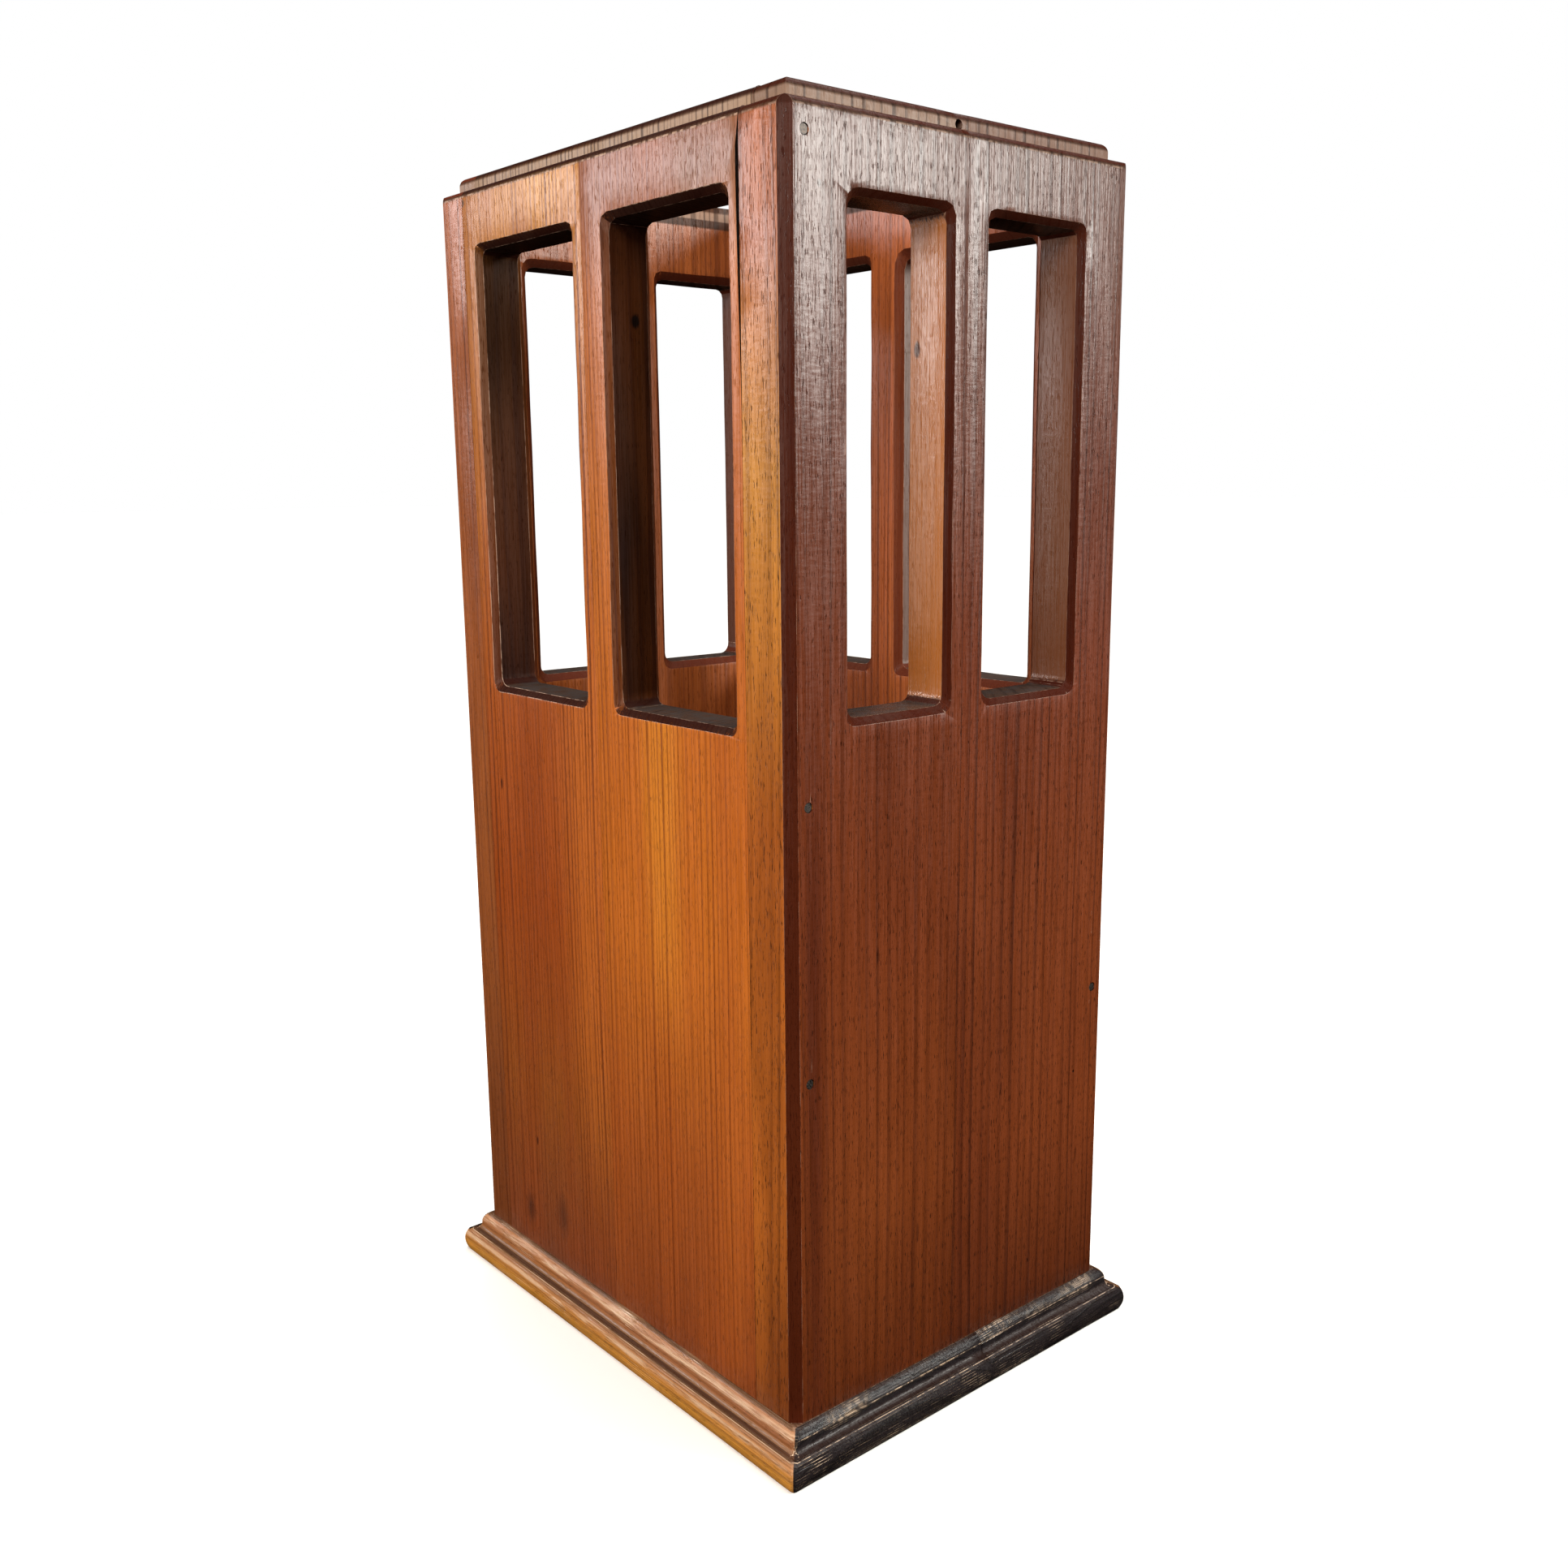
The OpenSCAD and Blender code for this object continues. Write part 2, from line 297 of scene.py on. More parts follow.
def easeArrises(piece, width, segments=2):
    onlySelect(piece)
    ease = piece.modifiers.new("ease", "BEVEL")
    ease.width = width * mm
    ease.segments = segments
    ease.limit_method = "ANGLE"
    ease.angle_limit = math.radians(38)
    ease.use_clamp_overlap = True
    bpy.ops.object.modifier_apply(modifier=ease.name)


wear = {
    "waves": 16,  # of the plane's marks, in a metre
    "waveHeight": 0.10,
    "chips": 60,  # along an arris, in a metre
    "chipPower": 1.5,
    "sharp": 0.93,  # edges whose faces turn further than this wear
}


def wearSurface(piece, amount, seed):  # hand planing leaves a board slightly uneven, and its arrises worn
    mesh = piece.data
    sharp = [0.0] * len(mesh.vertices)
    faces = {}
    for p in mesh.polygons:
        for key in p.edge_keys:
            faces.setdefault(key, []).append(p.normal)
    for key, normals in faces.items():
        if len(normals) == 2 and normals[0].dot(normals[1]) < wear["sharp"]:
            for v in key:
                sharp[v] = 1.0
    for v in mesh.vertices:
        where = v.co * wear["waves"] + Vector((seed, seed * 2, seed * 3))
        push = wear["waveHeight"] * noise.noise(where) * (1 - sharp[v.index])
        rough = noise.noise(v.co * wear["chips"] + Vector((seed * 5, 1, 2)))
        push -= sharp[v.index] * amount * max(0.0, rough) ** wear["chipPower"]
        v.co += v.normal * push * mm


arris = {"narrow": 0.5, "glueLine": 1.5, "seam": 3}  # a face narrower than the first comes from easing


def markFaces(piece, name, test):  # a number on each face for its material to read
    numbers = piece.data.attributes.new(name, "FLOAT", "FACE")
    for p in piece.data.polygons:
        numbers.data[p.index].value = test(p)


def isArris(piece, p, glued):  # glued holds the places of the board's glued edges, by axis
    if any(abs(p.center[axis] - place) < arris["glueLine"] * mm for axis, place in glued):
        return 0.0
    points = [piece.data.vertices[v].co for v in p.vertices]
    longest = max((points[i] - points[i - 1]).length for i in range(len(points)))
    return 1.0 if p.area < arris["narrow"] * mm * longest else 0.0


staves = {
    "front_stave_left": {"opening": "front_slot_left", "slot": "front_boards", "seed": 1},
    "front_stave_right": {"opening": "front_slot_right", "slot": "front_boards", "seed": 2},
    "back_stave_left": {"opening": "back_slot_left", "slot": "back_boards", "seed": 3},
    "back_stave_right": {"opening": "back_slot_right", "slot": "back_boards", "seed": 4},
    "left_stave_front": {"opening": "left_slot_front", "slot": "left_boards", "seed": 5},
    "left_stave_back": {"opening": "left_slot_back", "slot": "left_boards", "seed": 6},
    "right_stave_front": {"opening": "right_slot_front", "slot": "right_boards", "seed": 7},
    "right_stave_back": {"opening": "right_slot_back", "slot": "right_boards", "seed": 8},
}
pieces = {}
for node, stave in staves.items():
    low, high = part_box(node)
    piece = copyOf(wallBlock, node + "_board")
    glued = []
    for axis, half in ((0, walls["halfWide"]), (1, walls["halfDeep"])):
        for end, place in ((-1, low[axis]), (1, high[axis])):
            if abs(place) < (half - 0.5) * mm:
                normal = [0, 0, 0]
                normal[axis] = end
                point = [0, 0, 0]
                point[axis] = place
                sawOff(piece, point, normal)
                glued.append((axis, place))
    if node.startswith(("front", "back")):
        outer, inner = (low[1], high[1]) if node.startswith("front") else (high[1], low[1])
        cutter = slotCutter("slot", openings[stave["opening"]], outer, inner, 0, stave["seed"])
    else:
        outer, inner = (low[0], high[0]) if node.startswith("left") else (high[0], low[0])
        cutter = slotCutter("slot", openings[stave["opening"]], outer, inner, 1, stave["seed"])
    cutAway(piece, cutter)
    easeArrises(piece, walls["easedArris"])
    for height in nails["shown"].get(node, ()):
        side = -1 if node.endswith("left") else 1
        out = -1 if node.startswith("front") else 1
        face = out * (walls["halfDeep"] + nails["pastFace"])
        reach = nails["pastFace"] + nails["recessDepth"]
        centre = Vector((side * nails["fromMiddle"], face - out * reach / 2, height)) * mm
        cutAway(piece, drill("recess", centre, nails["recess"] * mm, reach * mm, (math.pi / 2, 0, 0)))
    if node.startswith("front"):
        face = walls["stepIn"] - walls["halfDeep"]
        centre = Vector((oldHole["x"], face - 1 + (oldHole["depth"] + 1) / 2, oldHole["z"])) * mm
        cutAway(piece, drill("oldHole", centre, oldHole["radius"] * mm,
                             (oldHole["depth"] + 1) * mm, (math.pi / 2, 0, 0)))
    if node == "front_stave_right":
        centre = Vector((pinHole["x"], -walls["halfDeep"], pinHole["z"])) * mm
        cutAway(piece, drill("pinHole", centre, pinHole["radius"] * mm,
                             2 * pinHole["depth"] * mm, (math.pi / 2, 0, 0), 10))
    score(piece, 2, spread(low[2], high[2], 12 * mm))
    across = 0 if high[0] - low[0] > high[1] - low[1] else 1
    score(piece, across, spread(low[across], high[across], 12 * mm))
    wearSurface(piece, 0.5, stave["seed"])
    if node == gap["node"]:
        for v in piece.data.vertices:
            if v.co.y < low.y + 0.6 * mm:
                z = v.co.z / mm
                opened = smooth(z, gap["shut"], gap["open"]) * (1 - smooth(z, gap["top"] - 3, gap["top"]))
                v.co.y += (gap["low"] + gap["wide"] * opened) * mm
    slotLow, slotHigh = openings[stave["opening"]]
    through = 1 - across

    def inSlot(p):
        reach = (slots["clear"] + slots["waviness"] + 0.8) * mm
        among = all(slotLow[a] - reach < p.center[a] < slotHigh[a] + reach for a in (across, 2))
        return 1.0 if among and abs(p.normal[through]) < 0.45 else 0.0

    markFaces(piece, "slotCut", inSlot)
    markFaces(piece, "arris", lambda p: isArris(piece, p, glued))
    markFaces(piece, "seam", lambda p: 1.0 if any(
        axis == across and abs(p.center[axis] - place) < arris["seam"] * mm and abs(p.normal[axis]) > 0.8
        for axis, place in glued) else 0.0)
    pieces[node] = piece
    print("  made", node, len(piece.data.polygons), "faces")
bpy.data.objects.remove(wallBlock)

print("stage: base")
base = {
    "out": 12,
    "thick": 23,
    "ovolo": 6,
    "ovoloOut": 4.3,
    "cove": 2.8,
    "fillet": 0.8,
    "slope": 1.8,
    "draw": 1.5,
    "joint": 12,
    "mitreRound": 1.8,
    "nailX": 60,
    "nailY": 70,
}
coveTop = base["thick"] - base["ovolo"] - base["fillet"]
noseTop = coveTop - base["cove"] - base["slope"]
noseRadius = ((noseTop / 2) ** 2 + base["draw"] ** 2) / (2 * base["draw"])
noseTurn = math.degrees(math.asin(noseTop / 2 / noseRadius))
baseProfile = (
    arc(base["out"] - noseRadius, noseTop / 2, noseRadius, -noseTurn, noseTurn, 9)
    + arc(base["ovoloOut"] + base["cove"], coveTop, base["cove"], 270, 180, 6)
    + arc(base["ovoloOut"] - base["ovolo"], base["thick"] - base["ovolo"], base["ovolo"], 0, 90, 9)
)
baseNails = [(x, y) for x in (-base["nailX"], base["nailX"]) for y in (-124, 126)]
baseNails += [(x, y) for x in (-94.5, 94.5) for y in (-base["nailY"], base["nailY"])]
baseBlock = raiseMoulding("baseBlock", walls["halfWide"], walls["halfDeep"], baseProfile)
onlySelect(baseBlock)
bpy.ops.object.mode_set(mode="EDIT")
bpy.ops.mesh.select_all(action="DESELECT")
bpy.ops.object.mode_set(mode="OBJECT")
onMitre = [abs(abs(v.co.x) - abs(v.co.y) - (walls["halfWide"] - walls["halfDeep"]) * mm) < 0.01 * mm
           for v in baseBlock.data.vertices]
for e in baseBlock.data.edges:
    e.select = all(onMitre[v] for v in e.vertices)
bpy.ops.object.mode_set(mode="EDIT")
bpy.ops.mesh.bevel(offset=base["mitreRound"] * mm, segments=3, affect="EDGES")
bpy.ops.object.mode_set(mode="OBJECT")
for node, end in (("base_board_left", 1), ("base_board_right", -1)):
    piece = copyOf(baseBlock, node + "_board")
    low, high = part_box(node)
    sawOff(piece, (base["joint"] * mm, 0, 0), (end, 0, 0))
    easeArrises(piece, 0.3)
    for x, y in baseNails:
        if (x - base["joint"]) * end < 0:
            reach = nails["pastFace"] + nails["recessDepth"]
            centre = Vector((x, y, nails["recessDepth"] - reach / 2)) * mm
            cutAway(piece, drill("recess", centre, nails["recess"] * mm, reach * mm, (0, 0, 0)))
    score(piece, 1, spread(low[1], high[1], 8 * mm))
    score(piece, 0, spread(low[0], high[0], 8 * mm))
    wearSurface(piece, 0.6, 20 + end)
    markFaces(piece, "arris", lambda p: isArris(piece, p, [(0, base["joint"] * mm)]))
    pieces[node] = piece
    print("  made", node, len(piece.data.polygons), "faces")
bpy.data.objects.remove(baseBlock)

for node, piece in pieces.items():
    onlySelect(piece)
    bpy.ops.object.shade_smooth_by_angle(angle=math.radians(28))
    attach(piece, "root")
    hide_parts(node)

print("stage: materials")


def hexColour(code):
    parts = [int(code[i:i + 2], 16) / 255 for i in (1, 3, 5)]
    return [c / 12.92 if c <= 0.04045 else ((c + 0.055) / 1.055) ** 2.4 for c in parts] + [1.0]


def addNode(tree, kind, inputs=(), out=0, stops=(), **settings):  # gives its output socket, or itself
    node = tree.nodes.new("ShaderNode" + kind)
    for name, value in settings.items():
        setattr(node, name, value)
    for key, value in inputs.items() if isinstance(inputs, dict) else enumerate(inputs):
        if isinstance(value, bpy.types.NodeSocket):
            tree.links.new(value, node.inputs[key])
        else:
            node.inputs[key].default_value = value
    for i, (place, code) in enumerate(stops):
        while len(node.color_ramp.elements) <= i:
            node.color_ramp.elements.new(place)
        node.color_ramp.elements[i].position = place
        node.color_ramp.elements[i].color = hexColour(code)
    return node if out is None else node.outputs[out]


woodDefaults = {
    "tones": ((0.0, "#A0562A"), (1.0, "#B0602C")),  # stain from the floor to the top; on the walls the darker foot is painted shade
    "sideTones": (),
    "soak": "#8A4420",  # where it has soaked in deeper
    "soakDepth": 0.5,
    "late": "#5A2812",  # the dark line that ends a growth ring
    "lateDepth": 0.6,
    "end": "#3A2A22",
    "cut": "#5A3020",  # inside the slots
    "cutGloss": 0.7,
    "sill": "#3A322F",
    # edge: painted shade on the flats and rounds cut across the corners
    "edge": "#5E2A1A",
    "edgeDepth": 0.9,
    # rim: a pale colour painted on the top step's upright, a painted sheen
    "rim": "#A98A76",
    "worn": "#D8B49C",
    "wornDepth": 0.55,
    "pith": (-60.0, 180.0),  # where the middle of the tree would be
    "ring": 4.2,  # mm from one growth ring to the next
    "warp": 8.8,  # mm that the trunk wanders
    "pores": 0.4,
    "roughness": 0.34,
    "endGloss": 0.12,
    "endDull": 0.16,
    "peel": 0.9,  # how far the varnish has set in ripples
    "fibreRelief": 0.5,
    "rubLength": 14,
    "alongY": False,  # the grain runs front to back, as in the base
    "seed": 0.0,
    "patches": (),  # place, reach each way, strength, colour; wide and soft
    "marks": (),  # the same, small and ragged
}
seedShift = (13.7, 7.1, 31.3)
# noise drawn out along the grain: its size each way in mm, detail and roughness
clouds = {
    "bend": ((60, 60, 420), 1.5, 0.5),
    "soak": ((34, 34, 220), 2.0, 0.5),
    "ringDepth": ((50, 50, 160), 1.0, 0.5),
    "fibre": ((0.8, 0.8, 40), 3.0, 0.6),  # about 0.5 mm wide in pine, drawn at 0.8 mm so that it shows
    "pore": ((0.45, 0.45, 4.5), 1.0, 0.5),  # about 0.2 mm wide and 2 mm long, drawn twice as wide
    "dust": ((7, 7, 7), 3.0, 0.5),
}
rimFoot = ledgeAt + 0.8
rimTop = walls["top"] - walls["topRound"] + 0.6
ledgeFoot = (rimFoot - 5.2, rimFoot - 3.8)
# painted shade in the cove of the base and where it meets the walls
creaseShade = {"bands": ((11.2, 15.8), (21.4, 24.0)), "strength": 0.85, "colour": "#22120C"}
crests = {"bands": ((17.5, 22.0), (8.4, 11.6)), "strength": 0.55}
darkWood = {"pore": "#2A120A", "rim": "#2E1A14", "seam": "#120B09"}
varnishRipple = (1 / 5.5, 1 / 5.5, 1 / 2.4)  # one over its size in mm
softly = {"interpolation_type": "SMOOTHSTEP"}
colours = {"data_type": "RGBA", "out": 2}


def growPine(tree, wood):  # rings, fibres and pores, each from 0 to 1, and where on the board they are
    place = addNode(tree, "TexCoord", out=None).outputs
    inMm = addNode(tree, "VectorMath", (place["Object"], (1000, 1000, 1000)), operation="MULTIPLY")
    at = addNode(tree, "SeparateXYZ", (inMm,), out=None).outputs
    grainUp = inMm
    if wood["alongY"]:
        grainUp = addNode(tree, "CombineXYZ", (at[0], at[2], at[1]))
    seed = [wood["seed"] * shift for shift in seedShift]
    moved = addNode(tree, "VectorMath", (grainUp, seed), operation="ADD")
    sizes = dict(clouds, rub=((3, 3, wood["rubLength"]), 3.0, 0.65))
    facing = addNode(tree, "SeparateXYZ", (place["Normal"],), out=None).outputs
    grain = {"inMm": inMm, "at": at, "facing": facing}
    for what, (size, detail, rough) in sizes.items():
        spot = addNode(tree, "VectorMath", (moved, [1 / s for s in size]), operation="MULTIPLY")
        inputs = {"Vector": spot, "Scale": 1.0, "Detail": detail, "Roughness": rough}
        grain[what] = addNode(tree, "TexNoise", inputs, out="Color" if what == "bend" else 0)

    # the trunk's slow bends, then rings of uneven width round its pith
    bend = addNode(tree, "VectorMath", (grain["bend"], (0.5, 0.5, 0.5)), operation="SUBTRACT")
    warp = (wood["warp"], wood["warp"], 0)
    bent = addNode(tree, "VectorMath", (bend, warp, grainUp), operation="MULTIPLY_ADD")
    fromPith = addNode(tree, "VectorMath", (bent, (*wood["pith"], 0)), operation="SUBTRACT")
    flat = addNode(tree, "VectorMath", (fromPith, (1, 1, 0)), operation="MULTIPLY")
    radius = addNode(tree, "VectorMath", (flat,), out="Value", operation="LENGTH")
    years = addNode(tree, "Math", (radius, 1 / wood["ring"]), operation="MULTIPLY")
    slower = addNode(tree, "Math", (years, 0.41), operation="MULTIPLY")
    weather = addNode(tree, "TexNoise", {"W": slower, "Scale": 1.0, "Detail": 1.0}, noise_dimensions="1D")
    uneven = addNode(tree, "Math", (weather, 1.6, years), operation="MULTIPLY_ADD")
    part = addNode(tree, "Math", (uneven,), operation="FRACT")
    year = addNode(tree, "Math", (uneven,), operation="FLOOR")
    harvest = addNode(tree, "TexWhiteNoise", {"W": year}, out="Value", noise_dimensions="1D")
    harvest = addNode(tree, "MapRange", (harvest, 0.0, 1.0, 0.5, 1.0), **softly)
    darkens = addNode(tree, "MapRange", (part, 0.45, 0.88), **softly)
    stops = addNode(tree, "MapRange", (part, 1.0, 0.94), **softly)
    late = addNode(tree, "Math", (darkens, stops), operation="MULTIPLY")
    grain["late"] = addNode(tree, "Math", (late, harvest), operation="MULTIPLY")
    grain["pore"] = addNode(tree, "MapRange", (grain["pore"], 0.6, 0.7), **softly)
    grain["rubbed"] = addNode(tree, "MapRange", (grain["rub"], 0.42, 0.58, 0.1, 1.0), **softly)
    return grain


def stainAndShadeFaces(tree, wood, grain):  # what the stain makes of the faces, with painted shade darkening the foot of the walls and the top of a slot's jamb
    # the colour by height; on the walls its darker foot is painted shade
    height = addNode(tree, "MapRange", (grain["at"][2], 0.0, walls["top"]))
    tone = addNode(tree, "ValToRGB", (height,), stops=wood["tones"])
    if wood["sideTones"]:  # the edge of a board takes the stain more lightly than its face
        side = addNode(tree, "ValToRGB", (height,), stops=wood["sideTones"])
        sideways = addNode(tree, "Math", (grain["facing"][0],), operation="ABSOLUTE")
        onSide = addNode(tree, "MapRange", (sideways, 0.8, 0.95), **softly)
        tone = addNode(tree, "Mix", {0: onSide, 6: tone, 7: side}, **colours)
    soaked = addNode(tree, "MapRange", (grain["soak"], 0.38, 0.68, 0.0, wood["soakDepth"]), **softly)
    tone = addNode(tree, "Mix", {0: soaked, 6: tone, 7: hexColour(wood["soak"])}, **colours)
    for centre, reach, strength, code in wood["patches"]:
        offset = addNode(tree, "VectorMath", (grain["inMm"], centre), operation="SUBTRACT")
        shaped = addNode(tree, "VectorMath", (offset, [1 / r for r in reach]), operation="MULTIPLY")
        distance = addNode(tree, "VectorMath", (shaped,), out="Value", operation="LENGTH")
        uneasy = addNode(tree, "Math", (grain["soak"], 0.8, distance), operation="MULTIPLY_ADD")
        amount = addNode(tree, "MapRange", (uneasy, 1.45, 0.45, 0.0, strength), **softly)
        tone = addNode(tree, "Mix", {0: amount, 6: tone, 7: hexColour(code)}, **colours)
    depths = (wood["lateDepth"] * 0.6, wood["lateDepth"] * 1.3)
    depth = addNode(tree, "MapRange", (grain["ringDepth"], 0.3, 0.7, *depths))
    ringed = addNode(tree, "Math", (grain["late"], depth), operation="MULTIPLY")
    tone = addNode(tree, "Mix", {0: ringed, 6: tone, 7: hexColour(wood["late"])}, **colours)
    streak = addNode(tree, "MapRange", (grain["fibre"], 0.3, 0.7, 0.84, 1.14))
    tone = addNode(tree, "VectorMath", {0: tone, "Scale": streak}, operation="SCALE")
    pores = addNode(tree, "Math", (grain["pore"], wood["pores"]), operation="MULTIPLY")
    return addNode(tree, "Mix", {0: pores, 6: tone, 7: hexColour(darkWood["pore"])}, **colours)


def stainEndsWithPaintedLight(tree, wood, grain, tone):  # end grain and the insides of the slots, with painted shade in the cove and a painted sheen on the top step
    at, facing = grain["at"], grain["facing"]
    # end grain drinks more stain and dries dark; its edge with the face is torn and ragged
    upright = addNode(tree, "Math", (facing[1 if wood["alongY"] else 2],), operation="ABSOLUTE")
    if wood["alongY"]:  # the whole moulding is end grain at the front and back, up to the mitres
        farY = addNode(tree, "Math", (at[1],), operation="ABSOLUTE")
        farX = addNode(tree, "Math", (at[0],), operation="ABSOLUTE")
        pastFront = addNode(tree, "Math", (farY, walls["halfDeep"]), operation="SUBTRACT")
        pastSide = addNode(tree, "Math", (farX, walls["halfWide"]), operation="SUBTRACT")
        pastSide = addNode(tree, "Math", (pastSide, 0.0), operation="MAXIMUM")
        pastMitre = addNode(tree, "Math", (pastFront, pastSide), operation="SUBTRACT")
        ends = addNode(tree, "MapRange", (pastMitre, -0.3, 0.3), **softly)
    else:
        tear = addNode(tree, "MapRange", (grain["fibre"], 0.3, 0.7, -0.25, 0.25))
        torn = addNode(tree, "Math", (upright, tear), operation="ADD")
        ends = addNode(tree, "MapRange", (torn, 0.35, 0.6), **softly)
    shade = addNode(tree, "MapRange", (grain["late"], 0.0, 1.0, 1.25, 0.5), **softly)
    endTone = addNode(tree, "VectorMath", {0: hexColour(wood["end"])[:3], "Scale": shade}, operation="SCALE")

    # the insides of the slots were stained before the last coats, and on the left walls their colour is
    # darkened further as painted shade; dust sits on the sills
    cut = addNode(tree, "Attribute", out="Fac", attribute_name="slotCut")
    thin = addNode(tree, "MapRange", (grain["soak"], 0.35, 0.65, 0.0, 0.14), **softly)
    inside = addNode(tree, "Mix", {0: thin, 6: hexColour(wood["cut"]), 7: tone}, **colours)
    tone = addNode(tree, "Mix", {0: cut, 6: tone, 7: inside}, **colours)
    if wood["alongY"]:  # the crests of the moulding are rubbed pale
        for low, high in crests["bands"]:
            above = addNode(tree, "Math", (at[2], (low + high) / 2), operation="SUBTRACT")
            off = addNode(tree, "Math", (above,), operation="ABSOLUTE")
            widths = ((high - low) / 2, (high - low) / 6)
            band = addNode(tree, "MapRange", (off, *widths, 0.0, crests["strength"]), **softly)
            pale = addNode(tree, "Math", (band, grain["rubbed"]), operation="MULTIPLY")
            tone = addNode(tree, "Mix", {0: pale, 6: tone, 7: hexColour(wood["worn"])}, **colours)
    tone = addNode(tree, "Mix", {0: ends, 6: tone, 7: endTone}, **colours)
    level = addNode(tree, "MapRange", (facing[2], 0.3, 0.8), **softly)
    sill = addNode(tree, "Math", (level, cut), operation="MULTIPLY")
    dust = addNode(tree, "MapRange", (grain["dust"], 0.35, 0.65), **softly)
    dusty = addNode(tree, "Mix", {0: dust, 6: endTone, 7: hexColour(wood["sill"])}, **colours)
    tone = addNode(tree, "Mix", {0: sill, 6: tone, 7: dusty}, **colours)
    if wood["alongY"]:  # painted shade darkens the cove and the joint against the walls
        for low, high in creaseShade["bands"]:
            above = addNode(tree, "Math", (at[2], (low + high) / 2), operation="SUBTRACT")
            off = addNode(tree, "Math", (above,), operation="ABSOLUTE")
            widths = ((high - low) / 2, (high - low) / 6)
            band = addNode(tree, "MapRange", (off, *widths, 0.0, creaseShade["strength"]), **softly)
            tone = addNode(tree, "Mix", {0: band, 6: tone, 7: hexColour(creaseShade["colour"])}, **colours)

    # the rounded ledge takes the dark end-grain colour; the small upright of the top step is painted pale as
    # a painted sheen, with the late wood standing dark in it
    ledge = addNode(tree, "MapRange", (at[2], *ledgeFoot), **softly)
    most = addNode(tree, "Math", (ledge, 0.9), operation="MULTIPLY")
    tone = addNode(tree, "Mix", {0: most, 6: tone, 7: endTone}, **colours)
    over = addNode(tree, "MapRange", (at[2], rimFoot - 0.4, rimFoot + 0.4), **softly)
    under = addNode(tree, "MapRange", (at[2], rimTop + 0.7, rimTop - 0.7), **softly)
    steep = addNode(tree, "MapRange", (upright, 0.75, 0.45), **softly)
    between = addNode(tree, "Math", (over, under), operation="MULTIPLY")
    rim = addNode(tree, "Math", (between, steep), operation="MULTIPLY")
    rim = addNode(tree, "Math", (rim, 0.75), operation="MULTIPLY")
    ticks = addNode(tree, "MapRange", (grain["late"], 0.2, 0.9, 0.0, 0.7), **softly)
    rimSheenColours = {0: ticks, 6: hexColour(wood["rim"]), 7: hexColour(darkWood["rim"])}
    paintedRimSheen = addNode(tree, "Mix", rimSheenColours, **colours)
    tone = addNode(tree, "Mix", {0: rim, 6: tone, 7: paintedRimSheen}, **colours)
    return tone, {"ends": ends, "cut": cut, "ledge": ledge}


def wearAndShadeEdges(tree, wood, grain, tone, masks):  # painted shade on the flats; worn arrises, glue lines and marks
    # painted shade on the flats and rounds cut across the corners and round the slots; on the base the
    # curved faces are tinted towards the edge colour
    sizes = [addNode(tree, "Math", (grain["facing"][axis],), operation="ABSOLUTE") for axis in range(3)]
    larger = addNode(tree, "Math", (sizes[0], sizes[1]), operation="MAXIMUM")
    largest = addNode(tree, "Math", (larger, sizes[2]), operation="MAXIMUM")
    slanted = addNode(tree, "MapRange", (largest, 0.97, 0.86), **softly)
    slanted = addNode(tree, "Math", (slanted, wood["edgeDepth"]), operation="MULTIPLY")
    thinned = addNode(tree, "MapRange", (grain["soak"], 0.3, 0.7, 1.0, 0.75), **softly)
    slanted = addNode(tree, "Math", (slanted, thinned), operation="MULTIPLY")
    if wood["alongY"]:
        sides = addNode(tree, "Math", (1.0, masks["ends"]), operation="SUBTRACT")
        slanted = addNode(tree, "Math", (slanted, sides), operation="MULTIPLY")
    masks["slanted"] = slanted
    tone = addNode(tree, "Mix", {0: slanted, 6: tone, 7: hexColour(wood["edge"])}, **colours)
    easedEdge = addNode(tree, "Attribute", out="Fac", attribute_name="arris")
    bare = addNode(tree, "Math", (easedEdge, grain["rubbed"]), operation="MULTIPLY")
    bare = addNode(tree, "Math", (bare, wood["wornDepth"]), operation="MULTIPLY")
    tone = addNode(tree, "Mix", {0: bare, 6: tone, 7: hexColour(wood["worn"])}, **colours)
    seam = addNode(tree, "Attribute", out="Fac", attribute_name="seam")
    tone = addNode(tree, "Mix", {0: seam, 6: tone, 7: hexColour(darkWood["seam"])}, **colours)
    for centre, reach, strength, code in wood["marks"]:
        offset = addNode(tree, "VectorMath", (grain["inMm"], centre), operation="SUBTRACT")
        shaped = addNode(tree, "VectorMath", (offset, [1 / r for r in reach]), operation="MULTIPLY")
        distance = addNode(tree, "VectorMath", (shaped,), out="Value", operation="LENGTH")
        ragged = addNode(tree, "Math", (grain["fibre"], 0.9, distance), operation="MULTIPLY_ADD")
        amount = addNode(tree, "MapRange", (ragged, 1.45, 0.9, 0.0, strength), **softly)
        tone = addNode(tree, "Mix", {0: amount, 6: tone, 7: hexColour(code)}, **colours)
    return tone


